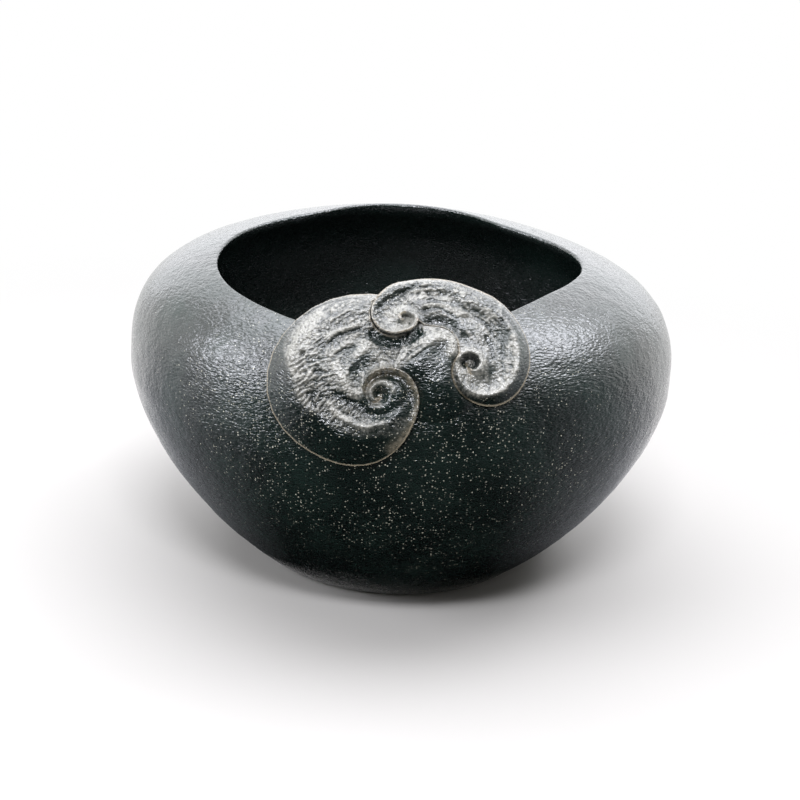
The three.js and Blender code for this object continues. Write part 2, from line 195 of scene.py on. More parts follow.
# The relief's own frame, as the carving was laid out: x to the right, y up its face, heights out
RELIEF_ORIGIN = Vector((0, 0, 51.5))
RELIEF_LEAN = math.radians(30)
RELIEF_UP = Vector((0, math.sin(RELIEF_LEAN), math.cos(RELIEF_LEAN)))
RELIEF_OUT = Vector((0, -math.cos(RELIEF_LEAN), math.sin(RELIEF_LEAN)))
LEFT_EYE = Vector((-3.7, -22.1))
CURL_EYE = Vector((-0.1, -4.9))
VOLUTE_EYE = Vector((15.2, -13.6))
STEM_MIDDLE = Vector((7.4, -15.5))
RELIEF_MIDDLE = (0.0, -0.056, 0.064)  # in metres, as the materials read a place
SIDE_FIT = 0.12 * MM  # how much wider each carving is on each side, to narrow the joint beside it
SEAM_FIT = 0.1 * MM  # and more where dust hides the joint
FOOT_SWELL = 0.5  # how far the bowl rises to meet the stem's foot, in millimetres
FOOT_SINK = 0.75  # and how far the foot runs down into the bowl
BASE_TOP = 2  # the ground base and its worn edge lie below this level, in millimetres
HOLLOW_FLOOR = 8  # and the hollow's lowest point a little below this one
# The bright crest across the stem's head. Its last two points run on under the volute.
STEM_CREST = [
    Vector(place)
    for place in (
        (-2, -17.5), (1.1, -15.2), (2.4, -13.8), (4.1, -12.2), (5.8, -10.7), (7.3, -9.4),
        (9.1, -8.8), (10.6, -9.1), (11.2, -10.5), (11.6, -12.5), (13.5, -16), (20, -24),
    )
]


def on_relief(co):
    """A point's place on the relief's face and its height, in millimetres."""
    p = co / MM - RELIEF_ORIGIN
    return Vector((p.x, p.dot(RELIEF_UP))), p.dot(RELIEF_OUT)


def polar(place, eye):
    """A place on the relief as its distance and direction from an eye."""
    d = place - eye
    return d.length, math.atan2(d.y, d.x)


def smooth(value, low, high):
    """0 below low, 1 above high and a soft step between them."""
    t = min(1.0, max(0.0, (value - low) / (high - low)))
    return t * t * (3 - 2 * t)


def merged_copy(node, name):
    """A copy of a CAD node with its loose triangles merged and paired into quads."""
    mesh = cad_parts[node].data.copy()
    mesh.name = name
    mesh.materials.clear()
    bm = bmesh.new()
    bm.from_mesh(mesh)
    bmesh.ops.remove_doubles(bm, verts=bm.verts, dist=1e-6)
    bmesh.ops.join_triangles(
        bm, faces=bm.faces, angle_face_threshold=math.radians(30),
        angle_shape_threshold=math.radians(40),
    )
    bm.to_mesh(mesh)
    bm.free()
    piece = bpy.data.objects.new(name, mesh)
    bpy.context.scene.collection.objects.link(piece)
    return piece


def apply_modifiers(piece):
    """Makes the piece's modifiers part of its mesh."""
    bpy.context.view_layer.update()
    evaluated = piece.evaluated_get(bpy.context.evaluated_depsgraph_get())
    mesh = bpy.data.meshes.new_from_object(evaluated)
    old = piece.data
    piece.modifiers.clear()
    piece.data = mesh
    bpy.data.meshes.remove(old)
    mesh.name = piece.name


def place_piece(piece, node, material):
    """Puts the piece in its node's stead, with its material on it."""
    piece.data.materials.clear()
    piece.data.materials.append(material)
    for face in piece.data.polygons:
        face.use_smooth = True
    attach(piece, "root")
    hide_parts(node)


def attribute(mesh, name, values):
    """Stores one number for each vertex of a mesh, for its material to read."""
    layer = mesh.attributes.new(name, "FLOAT", "POINT")
    layer.data.foreach_set("value", values)


def add(tree, kind, at=(0, 0), inputs=None, **settings):
    """Adds a node with its settings. An input is given by name or number, as a value or a socket."""
    node = tree.nodes.new(kind)
    node.location = at
    for key, value in settings.items():
        setattr(node, key, value)
    for key, value in (inputs or {}).items():
        if isinstance(value, bpy.types.NodeSocket):
            tree.links.new(value, node.inputs[key])
        else:
            node.inputs[key].default_value = value
    return node


def new_material(name):
    """An empty node material and its tree."""
    material = bpy.data.materials.new(name)
    material.use_nodes = True
    material.node_tree.nodes.clear()
    return material, material.node_tree


def rgba(colour):
    return (*colour, 1.0)


def ramp(tree, at, value, low, high, first=0.0, last=1.0, kind="LINEAR"):
    """A value carried from low..high to first..last, and held outside it."""
    inputs = {"Value": value, "From Min": low, "From Max": high, "To Min": first, "To Max": last}
    return add(tree, "ShaderNodeMapRange", at, inputs, interpolation_type=kind).outputs["Result"]


def maths(tree, at, operation, first, second=0.0, third=0.0):
    """One sum of up to three values or sockets."""
    inputs = {0: first, 1: second, 2: third}
    return add(tree, "ShaderNodeMath", at, inputs, operation=operation).outputs[0]


def fleck_layer(tree, at, place, cell, share, reach, crowd):
    """Mineral flecks: a share of the cells holds one, more where it is crowded. Gives 0 to 1, by the
    brightness of each."""
    x, y = at
    cells = add(
        tree, "ShaderNodeTexVoronoi", (x, y), {"Vector": place, "Scale": 1 / cell},
    ).outputs
    chance = add(tree, "ShaderNodeSeparateColor", (x + 200, y), {0: cells["Color"]}).outputs
    bar = maths(tree, (x + 300, y), "MULTIPLY_ADD", crowd, -share, 1.0)
    size = maths(tree, (x + 450, y), "SUBTRACT", chance[0], bar)
    size = ramp(tree, (x + 600, y), size, 0.0, 0.4, 0.0, reach)
    there = maths(tree, (x + 800, y), "LESS_THAN", cells["Distance"], size)
    light = ramp(tree, (x + 400, y - 200), chance[1], 0.0, 0.9, 0.2, 0.8)
    return maths(tree, (x + 1000, y), "MULTIPLY", there, light)


def stone_nodes(tree, stone):
    """The stone's colour, roughness and grain height, the same for the bowl and the carving."""
    place = add(tree, "ShaderNodeTexCoord", (-2600, 0)).outputs["Object"]
    level = add(tree, "ShaderNodeSeparateXYZ", (-2400, -200), {0: place}).outputs["Z"]
    clouds = add(
        tree, "ShaderNodeTexNoise", (-2300, 600),
        {"Vector": place, "Scale": 1 / stone.cloud_size, "Detail": 5.0, "Roughness": 0.6},
    ).outputs["Fac"]
    spread = ramp(tree, (-2100, 600), clouds, 0.42, 0.68)
    colour = add(
        tree, "ShaderNodeMix", (-1900, 600),
        {0: spread, 6: rgba(stone.body), 7: rgba(stone.cloud)}, data_type="RGBA",
    ).outputs[2]

    # Flecks lie thickest in the middle of the bowl's height. None are put in the hollow: painted shade,
    # which keeps its inside as dark as the shade that fills it.
    patches = add(
        tree, "ShaderNodeTexNoise", (-2300, 200),
        {"Vector": place, "Scale": 1 / stone.patch_size, "Detail": 2.0},
    ).outputs["Fac"]
    crowd = ramp(tree, (-2100, 200), patches, 0.38, 0.62, 0.5, 1.1)
    low = ramp(tree, (-2100, 0), level, 15 * MM, 32 * MM, 0.7, 1.0)
    high = ramp(tree, (-2100, -150), level, 62 * MM, 76 * MM, 1.0, 0.45)
    hollow = add(tree, "ShaderNodeAttribute", (-2100, -300), attribute_name="hollow").outputs["Fac"]
    open_air = maths(tree, (-1900, -300), "SUBTRACT", 1.0, hollow)
    crowd = maths(tree, (-1900, 200), "MULTIPLY", crowd, low)
    crowd = maths(tree, (-1750, 100), "MULTIPLY", crowd, high)
    crowd = maths(tree, (-1600, 0), "MULTIPLY", crowd, open_air)

    # More of them were laid bare in the belt worked by hand round the relief
    relief = add(
        tree, "ShaderNodeVectorMath", (-2200, -1600), {0: place, 1: RELIEF_MIDDLE},
        operation="DISTANCE",
    ).outputs["Value"]
    belt = ramp(tree, (-2000, -1600), relief, 30 * MM, 58 * MM, 1.0, 0.0, "SMOOTHSTEP")
    nearby = maths(tree, (-1600, -500), "MULTIPLY", belt, open_air)
    crowd = maths(tree, (-1450, 0), "MULTIPLY_ADD", nearby, 0.7, crowd)
    fine = fleck_layer(tree, (-1200, -200), place, stone.fleck_spacing, 0.42, 0.28, crowd)
    large = fleck_layer(tree, (-1200, -700), place, 2.6 * stone.fleck_spacing, 0.10, 0.20, crowd)
    fleck = maths(tree, (-300, -300), "MAXIMUM", fine, large)
    flecked = add(
        tree, "ShaderNodeMix", (-100, 300),
        {0: fleck, 6: colour, 7: rgba(stone.fleck)}, data_type="RGBA",
    ).outputs[2]

    # The grain is drawn out along the grinding and deeper in the belt. It has no finer octaves, which
    # would only scatter the sheen.
    drawn = add(
        tree, "ShaderNodeMapping", (-2400, -1100), {"Vector": place, "Scale": (1.0, 1.0, 2.6)},
    ).outputs["Vector"]
    grain = add(
        tree, "ShaderNodeTexNoise", (-2200, -1000),
        {"Vector": drawn, "Scale": 1 / stone.grain, "Detail": 1.0, "Distortion": 0.4},
    ).outputs["Fac"]
    leather = add(
        tree, "ShaderNodeTexVoronoi", (-2200, -1300),
        {"Vector": drawn, "Scale": 1 / (1.25 * stone.grain), "Smoothness": 0.5},
        feature="SMOOTH_F1",
    ).outputs["Distance"]
    strength = ramp(tree, (-1800, -1600), belt, 0.0, 1.0, 1.7, 2.3)
    height = maths(tree, (-1900, -1100), "MULTIPLY_ADD", leather, 0.7, grain)
    height = maths(tree, (-1600, -1100), "MULTIPLY", height, strength)
    uneven = add(
        tree, "ShaderNodeTexNoise", (-1900, -1350),
        {"Vector": place, "Scale": 1 / stone.uneven, "Detail": 1.0},
    ).outputs["Fac"]
    dents = stone.uneven_depth / stone.grain_depth
    height = maths(tree, (-1400, -1200), "MULTIPLY_ADD", uneven, dents, height)
    rough = ramp(tree, (-1600, 500), clouds, 0.3, 0.7, 0.25, 0.33)
    speck = ramp(tree, (-1900, -900), grain, 0.35, 0.65, -0.06, 0.06)
    rough = maths(tree, (-1400, 500), "ADD", rough, speck)
    return flecked, rough, height


def waxed_serpentine(stone):
    """Serpentine, ground and waxed: near-black green with a soft gloss, a leathery grain and pale
    pyrite flecks that catch the light."""
    material, tree = new_material("waxed_serpentine")
    colour, rough, height = stone_nodes(tree, stone)
    bump = add(
        tree, "ShaderNodeBump", (-300, -400),
        {"Height": height, "Strength": 1.0, "Distance": stone.grain_depth},
    ).outputs["Normal"]
    shader = add(
        tree, "ShaderNodeBsdfPrincipled", (0, 0),
        {
            "Base Color": colour, "Roughness": rough, "Normal": bump, "IOR": 1.6,
            "Coat Weight": 0.9, "Coat Roughness": 0.2, "Coat IOR": 1.55, "Coat Normal": bump,
        },
    ).outputs[0]
    add(tree, "ShaderNodeOutputMaterial", (300, 0), {"Surface": shader})
    return material


def carved_serpentine(stone, carving):
    """The same serpentine, carved: waxed dark in the hollows and low slopes, partly as painted shade,
    and dry and dusty grey on the crests, paler where they face up, as painted light from above, with a
    worn brown line round each edge."""
    material, tree = new_material("carved_serpentine")
    colour, rough, height = stone_nodes(tree, stone)
    # The dust share: dust on the dry parts, with painted highlights and painted shade worked into it
    dust = add(tree, "ShaderNodeAttribute", (-900, 600), attribute_name="dust").outputs["Fac"]
    rim = add(tree, "ShaderNodeAttribute", (-900, 800), attribute_name="rim").outputs["Fac"]
    # The pale colour laid on by that share paints the dust and the light on it alike
    dusty = add(
        tree, "ShaderNodeMix", (-100, 400),
        {0: dust, 6: colour, 7: rgba(carving.dust)}, data_type="RGBA",
    ).outputs[2]
    edged = add(
        tree, "ShaderNodeMix", (100, 400),
        {0: rim, 6: dusty, 7: rgba(carving.rim)}, data_type="RGBA",
    ).outputs[2]
    dry = add(
        tree, "ShaderNodeMix", (-100, 150), {0: dust, 2: rough, 3: carving.dry_roughness},
        data_type="FLOAT",
    ).outputs[0]
    place = add(tree, "ShaderNodeTexCoord", (-900, -600)).outputs["Object"]
    crinkle = add(
        tree, "ShaderNodeTexNoise", (-700, -600),
        {"Vector": place, "Scale": 1 / carving.crinkle, "Detail": 0.0, "Distortion": 1.2},
    ).outputs["Fac"]
    crinkle = maths(tree, (-500, -600), "MULTIPLY", crinkle, dust)
    crinkles = carving.crinkle_depth / stone.grain_depth
    height = maths(tree, (-300, -500), "MULTIPLY_ADD", crinkle, crinkles, height)
    bump = add(
        tree, "ShaderNodeBump", (-100, -400),
        {"Height": height, "Strength": 1.0, "Distance": stone.grain_depth},
    ).outputs["Normal"]
    shader = add(
        tree, "ShaderNodeBsdfPrincipled", (300, 0),
        {
            "Base Color": edged, "Roughness": dry, "Normal": bump, "IOR": 1.56,
            "Coat Weight": 1.0, "Coat Roughness": 0.14, "Coat IOR": 1.5, "Coat Normal": bump,
        },
    ).outputs[0]
    add(tree, "ShaderNodeOutputMaterial", (600, 0), {"Surface": shader})
    return material


def named_material(name):
    """The material of that name, made when it is first asked for."""
    if name in bpy.data.materials:
        return bpy.data.materials[name]
    scene = bpy.context.scene
    if name == "waxed_serpentine":
        return waxed_serpentine(scene.tea_basin_stone)
    return carved_serpentine(scene.tea_basin_stone, scene.tea_basin_carving)


def stem_foot(place):
    """How far the bowl swells towards the stem's foot, in millimetres, so that the stem fades in."""
    r, turn = polar(place, STEM_MIDDLE)
    below = smooth(-math.sin(turn), 0.1, 0.6)
    return FOOT_SWELL * below * (1 - smooth(r, 13.5, 22)) + FOOT.rise * FOOT.share(place)


def outside_share(p, normal):
    """1 on the bowl's outer side and 0 in its hollow, at a point in millimetres."""
    if p.z <= HOLLOW_FLOOR:
        return float(normal.z < 0.5)
    outwards = (normal.x * p.x + normal.y * p.y) / max(1.0, math.hypot(p.x, p.y))
    return smooth(outwards, -0.15, 0.15)


def ripples(p):
    """The soft ripples of hand grinding at a point in millimetres, as a share of their depth. They
    are longer round the bowl than up it."""
    broad = noise.noise(Vector((p.x / 16, p.y / 16, p.z / 7)))
    fine = noise.noise(Vector((p.x / 7, p.y / 7, p.z / 3.2)) + Vector((9, 4, 7)))
    return broad + 0.6 * fine - 0.5


class TEABASIN_OT_bowl(Operator):
    """Grinds the bowl: a smooth skin over the CAD form, with soft ripples that run round it"""

    bl_idname = "tea_basin.bowl"
    bl_label = "Bowl"

    def execute(self, context):
        stone = context.scene.tea_basin_stone
        bowl = merged_copy("basin", "bowl")
        skin = bowl.modifiers.new("skin", "SUBSURF")
        skin.levels = 2
        skin.render_levels = 2
        apply_modifiers(bowl)
        bowl.data.update()
        normals = [v.normal.copy() for v in bowl.data.vertices]
        hollow = []
        for vertex, normal in zip(bowl.data.vertices, normals):
            p = vertex.co / MM
            outside = outside_share(p, normal)
            hollow.append(1 - outside)
            if p.z < BASE_TOP:
                continue
            rise = stone.ripple_depth * ripples(p)
            if outside > 0.5 and p.y < 0:
                rise += stem_foot(on_relief(vertex.co)[0]) * MM
            vertex.co += normal * rise
        attribute(bowl.data, "hollow", hollow)
        place_piece(bowl, "basin", named_material("waxed_serpentine"))
        return {"FINISHED"}


def edge_points(node):
    """Points close together along a relief piece's outline, where its face meets its wall."""
    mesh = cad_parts[node].data
    bm = bmesh.new()
    bm.from_mesh(mesh)
    bmesh.ops.remove_doubles(bm, verts=bm.verts, dist=1e-6)
    points = []
    for edge in bm.edges:
        if len(edge.link_faces) != 2:
            continue
        facing = sorted(face.normal.dot(RELIEF_OUT) for face in edge.link_faces)
        if facing[0] < 0.2 and facing[1] > 0.35:
            a, b = (v.co for v in edge.verts)
            steps = max(1, round((b - a).length / (0.3 * MM)))
            points += [a.lerp(b, i / steps) for i in range(steps + 1)]
    bm.free()
    return points


def carve(node, name, wrinkle, dust_and_light_of, rim_of, passes):
    """A relief piece: the CAD form in small even faces, softened by a few passes, with its wrinkles
    cut in. Three functions of the place give their height in metres, the dust with its painted light
    and shade, and the worn rim."""
    piece = merged_copy(node, name)
    remesh = piece.modifiers.new("faces", "REMESH")
    remesh.mode = "VOXEL"
    remesh.voxel_size = bpy.context.scene.tea_basin_carving.voxel
    apply_modifiers(piece)
    bm = bmesh.new()
    bm.from_mesh(piece.data)
    for _ in range(passes):
        bmesh.ops.smooth_vert(
            bm, verts=bm.verts, factor=0.5, use_axis_x=True, use_axis_y=True, use_axis_z=True,
        )
    bm.normal_update()
    heights, moves = [], []
    for vertex in bm.verts:
        place, _ = on_relief(vertex.co)
        facing = vertex.normal.dot(RELIEF_OUT)
        height = wrinkle(place) * smooth(facing, 0.1, 0.6)
        heights.append(height)
        side = (SIDE_FIT + SEAM_FIT * SEAM.share(place)) * (1 - smooth(facing, 0.2, 0.7))
        moves.append(vertex.normal * (height + side))
    for vertex, move in zip(bm.verts, moves):
        vertex.co += move
        # The highest crests stay inside the CAD's box
        vertex.co.y = max(vertex.co.y, CAD_BOX[0][1])
        vertex.co.z = min(vertex.co.z, CAD_BOX[1][2])
    bm.normal_update()
    lines = edge_points(node)
    tree = kdtree.KDTree(len(lines))
    for i, point in enumerate(lines):
        tree.insert(point, i)
    tree.balance()
    dust, rim = [], []
    for vertex, height in zip(bm.verts, heights):
        place, _ = on_relief(vertex.co)
        dust.append(dust_and_light_of(place, vertex.normal, height))
        away = tree.find(vertex.co)[2] / MM
        rim.append(rim_of(place, 1 - smooth(away, 0.15, 0.55)))
    bm.to_mesh(piece.data)
    bm.free()
    attribute(piece.data, "dust", dust)
    attribute(piece.data, "rim", rim)
    place_piece(piece, node, named_material("carved_serpentine"))


def dust_with_painted_light(place, normal, height, depth):
    """How pale a dry spot is, as dust and painted light: most on what stands up and faces up, as a
    painted light from above, little in the creases, as painted shade, and none on the walls, which stay
    waxed and dark, partly as painted shade."""
    up = (0.4 + 0.6 * smooth(normal.z, -0.3, 0.6)) * smooth(normal.dot(RELIEF_OUT), -0.1, 0.3)
    crease = 0.06 + 0.94 * smooth(height, -0.62 * depth, 0.1 * depth)
    patch = 0.8 + 0.7 * noise.noise(Vector((place.x / 2.6, place.y / 2.6, 2.0)))
    fine = 0.95 + 1.1 * noise.noise(Vector((place.x / 0.55, place.y / 0.55, 6.0)))
    return min(1.0, max(0.0, up * crease * patch * fine))


def nearest_on(place, a, b):
    """The place on the line from a to b that lies nearest to a given one."""
    along = min(1.0, max(0.0, (place - a).dot(b - a) / (b - a).length_squared))
    return a.lerp(b, along)


class Stroke:
    """A ridge or a hollow drawn along a line on the relief: half its width and its rise in
    millimetres, the dust that it gains or loses, which also paints highlights on ridges and shade in
    hollows, and the points of the line."""

    def __init__(self, half, rise, dust, *points):
        self.half, self.rise, self.dust = half, rise, dust
        points = [Vector(p) for p in points]
        self.lines = list(zip(points, points[1:]))
        reach = 2.2 * half
        self.low = Vector((min(p.x for p in points) - reach, min(p.y for p in points) - reach))
        self.high = Vector((max(p.x for p in points) + reach, max(p.y for p in points) + reach))

    def share(self, place):
        """1 on the line, falling softly to 0 on both sides of it."""
        if not (self.low.x < place.x < self.high.x and self.low.y < place.y < self.high.y):
            return 0.0
        away = min((place - nearest_on(place, a, b)).length for a, b in self.lines)
        return math.exp(-((away / self.half) ** 2))


def drawn(strokes, place):
    """The rise and the dust that the strokes bring to a place, with their painted highlights and shade.
    """
    rise = dust = 0.0
    for stroke in strokes:
        share = stroke.share(place)
        rise += share * stroke.rise
        dust += share * stroke.dust
    return rise, dust


# What the carver drew by hand on each element. The dust that a stroke adds is partly a painted
# highlight on its ridge, and the dust that it takes away is painted shade in creases and hollows.
LEFT_STROKES = [
    # A ridge down the outer turn, near its edge
    Stroke(1.0, 0.35, 0.3, (-18.9, -4.7), (-21.6, -8), (-22.9, -11.6), (-24.1, -16.6), (-22.7, -20.6),
           (-20.6, -24.4), (-18.7, -26.5)),
    # A growth line's ridge in the upper half, the crease under it, darkened as painted shade, and a
    # short ridge
    Stroke(0.45, 0.3, 0.3, (-16.1, -10.5), (-14.2, -8.6), (-11.7, -7.7), (-10, -6.8)),
    Stroke(0.4, -0.3, -0.5, (-15.5, -11.3), (-13.5, -9.5), (-11, -8.5), (-9.2, -7.7)),
    Stroke(0.35, 0.25, 0.3, (-11.5, -11.1), (-11, -9.9), (-9.6, -9)),
    # A crease along the top edge, darkened as painted shade
    Stroke(0.3, -0.2, -0.4, (-21.9, -4.6), (-19.5, -2.7), (-16.7, -1.2), (-13.1, -0.3), (-9.4, 0.1)),
    # A lump in the middle and two hollows beside it, darkened as painted shade
    Stroke(0.9, 0.35, 0.5, (-9.5, -13.5), (-7.9, -12.4), (-7.1, -11.2)),
    Stroke(1.0, -0.4, -0.8, (-9.9, -17.5), (-8.6, -15.7), (-7.6, -14.7)),
    Stroke(0.8, -0.3, -0.6, (-11.9, -13.2), (-10.2, -12.6)),
    # A ridge that curves down to the left of the eye
    Stroke(0.9, 0.35, 0.3, (-13.9, -17.4), (-11.9, -20.2), (-9.9, -22.3), (-8.1, -22.9)),
    # The groove that sweeps under the eye, darkened as painted shade, and the paler ridge below it,
    # partly dust and partly a painted highlight
    Stroke(0.9, -0.4, -1.0, (-13.5, -22.8), (-10.6, -24.1), (-7.6, -24.9), (-4.6, -26.6), (-1.7, -26.8),
           (1, -24.2), (1.9, -22)),
    Stroke(0.7, 0.35, 0.7, (-14.8, -24.9), (-12.5, -27.3), (-9.5, -28.9), (-6.2, -29.7), (-3.1, -28.5)),
    # The hollow under the right cap's curl, with the curl's shadow painted into it as a dark patch
    Stroke(1.1, -0.9, -1.6, (-6.4, -8.9), (-4.9, -10), (-2.7, -10.5), (-0.6, -10.4), (1.4, -9.6),
           (3, -8.2)),
    # The broad swell that carries the first ridge
    Stroke(1.6, 0.25, 0.2, (-21, -8.5), (-22.7, -11.6), (-23.1, -16.3), (-21.8, -19.1), (-19.1, -21.2)),
]
RIGHT_STROKES = [
    # The curl's lower edge, raised, and paler as a painted highlight along it
    Stroke(0.6, 0.4, 0.9, (-6.5, -6), (-5.5, -7.7), (-4.2, -8.6), (-2.4, -8.9), (-0.8, -8.6),
           (0.9, -7.9), (2.2, -6.8), (3, -5.4)),
    # The crest over the volute's eye, and the knob in it
    Stroke(0.45, 0.35, 0.5, (12.7, -15), (12.4, -13.3), (13.4, -12), (15, -11.4), (16.7, -12),
           (17.4, -13.6), (17, -15.2)),
    Stroke(0.7, 0.9, 1.0, (15.2, -13.1), (15.4, -14.3)),
    # Two growth lines' ridges along the arch and a crease under them, darkened as painted shade
    Stroke(0.4, 0.4, 0.5, (4.3, -1.8), (5.8, -1.1), (7.9, -0.9), (9.4, -1.2), (11.5, -1.8),
           (13.7, -2.5)),
    Stroke(0.35, 0.3, 0.4, (9.5, -1.3), (11.1, -2.4), (12.1, -3), (13.7, -2.6)),
    Stroke(0.4, -0.3, -0.5, (4.2, -2.9), (6, -2.1), (8.2, -1.9), (10, -3), (12, -4)),
    # The hollow along the arch's inner side, darkened as painted shade
    Stroke(1.2, -0.35, -0.6, (5.5, -5.4), (7.6, -5.2), (9.7, -5.6), (11.5, -6.4), (13.1, -7.8)),
    # Two creases round the curl's upper left, darkened as painted shade
    Stroke(0.6, -0.3, -0.6, (-5.2, -2.4), (-4, -0.8), (-2.3, 0.1), (-1, 1.1)),
    Stroke(0.6, -0.3, -0.6, (-0.3, 1.5), (1, 2.7), (2.5, 3.4)),
    # The ridge round the volute's outer edge
    Stroke(0.6, 0.3, 0.5, (24.5, -6.4), (25.5, -12.6), (24.8, -16.8), (23, -18.9), (19.8, -20.6),
           (17.3, -20.9), (14.6, -19.9)),
    # Two creases down the volute's right shoulder, darkened as painted shade
    Stroke(0.4, -0.35, -0.6, (18.6, -7.3), (19.8, -9.6), (20.4, -12)),
    Stroke(0.4, -0.35, -0.6, (21.2, -5.6), (22.2, -8.6), (22.4, -11.6)),
]
STEM_STROKES = [
    # The right end of the hollow under the right cap's curl, with the curl's shadow painted into it
    Stroke(1.1, -0.9, -1.6, (-2.7, -10.5), (-0.6, -10.4), (1.4, -9.6), (3, -8.2)),
    # The pale crest across the stem's head: dust, and a painted highlight along it
    Stroke(1.1, 0.2, 1.0, (5.8, -10.2), (7.3, -9.2), (9.1, -8.7), (10.6, -9.1), (11.2, -10.5),
           (10.8, -12.2)),
    # A crease on each side of the crest, darkened as painted shade
    Stroke(0.35, -0.25, -0.5, (1.5, -13.4), (3, -12.2), (4.6, -11)),
    Stroke(0.35, -0.25, -0.5, (2.6, -14.4), (3.9, -13.3), (5.4, -12)),
]
# The left cap's worn inner crest, a broad line that sweeps round its eye and down its right edge
LEFT_CREST = Stroke(
    1.0, 0, 0, (-7, -21.3), (-6.5, -19.7), (-5.2, -18), (-3.1, -17), (-1, -16.7), (1.2, -17.3),
    (3.1, -19.3), (4.6, -22), (4.6, -25.2), (3.6, -28.3), (1.8, -31.1), (-0.6, -33.3),
)
# The joint between the left cap and the stem, which the dust hides
SEAM = Stroke(2.4, 0, 0, (1.8, -6.5), (1.2, -8.1), (0.1, -12.1), (-1, -15))
# The swelling of the bowl where the stem's foot runs out
FOOT = Stroke(2.4, 0.3, 0, (7.7, -28.7), (11.4, -26.6), (15.1, -24.4))


# The patterns below take places and sizes in millimetres. Each layer is another slice of the noise.


def at_angle(values, turn):
    """A closed list of values, set at equal steps from the right anticlockwise, at an angle."""
    step = (math.degrees(turn) % 360) / (360 / len(values))
    first = int(step) % len(values)
    share = step - int(step)
    share = share * share * (3 - 2 * share)
    return values[first] * (1 - share) + values[(first + 1) % len(values)] * share


def lumps(x, y, layer):
    """Rounded lumps with sharp creases between them, about 0 to 1."""
    return min(1.0, 2.2 * abs(noise.noise(Vector((x, y, layer)))))


def streaks(r, way, width, length, layer):
    """Fine lines along a scroll, about -1 to 1, where way is the distance along it."""
    sway = 1.2 * noise.noise(Vector((way / 5, r / 5, layer + 0.5)))
    patch = 0.6 + 0.9 * noise.noise(Vector((way / 4, r / 2.5, layer + 7.5)))
    return 1.8 * patch * noise.noise(Vector(((r + sway) / width, way / length, layer)))


def gashes(r, way, width, length, layer):
    """Short creases that slant across a scroll, with rounded lumps between them, about 0 to 1."""
    bend = 0.8 * noise.noise(Vector((way / 3, r / 3, layer + 0.5)))
    return lumps((way - r + bend) / width, (way + r) / length, layer)


def crumple(place, layer):
    """Fine crumpled texture of the dry crests, about 0 to 1."""
    coarse = lumps(place.x / 1.5, place.y / 1.5, layer)
    fine = lumps(place.x / 0.7, place.y / 0.7, layer + 3)
    return 0.6 * coarse + 0.4 * fine


SCROLL_RADIUS = 15  # turns an angle into a way along a scroll, in millimetres
# Where the left cap's dry, wrinkled part starts and ends, in millimetres from its eye each 30 degrees
LEFT_DRY_FROM = [9, 8, 6.3, 5.6, 5, 4.4, 4.1, 4.2, 4.7, 5.2, 5.8, 7.6]
LEFT_DRY_TO = [20, 21, 23, 24.5, 25, 24.5, 18.5, 12.8, 10.5, 9, 9.3, 8]
# and how far from its eye the right cap's dry part ends
VOLUTE_DRY_TO = [10.2, 11.3, 13, 40, 40, 40, 40, 4.3, 5.9, 7.2, 8.1, 9.6]


class TEABASIN_OT_left_cap(Operator):
    """Carves the left cap, wound like a nautilus, with growth lines over its broad turn"""

    bl_idname = "tea_basin.left_cap"
    bl_label = "Left cap"

    def execute(self, context):
        carving = context.scene.tea_basin_carving
        depth = carving.wrinkle_depth

        def dry(place):
            """1 on the dry, wrinkled part and 0 on the waxed rest."""
            r, turn = polar(place, LEFT_EYE)
            first, last = at_angle(LEFT_DRY_FROM, turn), at_angle(LEFT_DRY_TO, turn)
            return smooth(r, first - 0.3, first + 0.7) * (1 - smooth(r, last - 1, last + 0.8))

        def wrinkle(place):
            """Lines along the upper half of the turn and gashes across the lower half."""
            r, turn = polar(place, LEFT_EYE)
            way = SCROLL_RADIUS * ((turn + 1.2) % (2 * math.pi))
            upper = smooth(math.sin(turn), 0.1, 0.75)
            along = streaks(r, way, width=0.9, length=8, layer=1)
            slant = gashes(r, way, width=1.3, length=3.8, layer=5)
            outer = 0.35 + 0.65 * smooth(r, 10, 15)
            rough = (1 - upper) * (1.7 * slant - 0.85) + upper * (0.8 * along - 0.1)
            rough = rough * outer + 0.8 * crumple(place, layer=2) - 0.8
            here = dry(place)
            rise = drawn(LEFT_STROKES, place)[0] * MM
            return depth * (here * rough + 0.15 * (1 - here) * along) + rise

        def dust_and_light_of(place, normal, height):
            """Dust on the dry part, growing darker towards the bottom, and a ring of it round the eye
            that is open at the lower right. The strokes add painted highlights on ridges and painted
            shade in hollows."""
            r, turn = polar(place, LEFT_EYE)
            ring = smooth(r, 1.6, 2.0) * (1 - smooth(r, 2.9, 3.5))
            ring *= 1 - smooth(math.cos(turn + 0.7), 0.5, 0.9)
            low = 0.3 + 0.7 * smooth(place.y, -31, -21)
            base = dry(place) * low + 0.75 * ring + drawn(LEFT_STROKES, place)[1]
            return max(0.0, base) * dust_with_painted_light(place, normal, height + 0.3 * depth, depth)

        def rim_of(place, edge):
            """A worn line along the edge, but not at the seam, and patches along the inner crest."""
            seam = SEAM.share(place)
            worn = 0.45 + 0.6 * noise.noise(Vector((place.x / 0.8, place.y / 0.8, 3.0)))
            return max(edge * (1 - seam), worn * LEFT_CREST.share(place))

        carve("left_cap", "left_fungus_cap", wrinkle, dust_and_light_of, rim_of, passes=9)
        return {"FINISHED"}


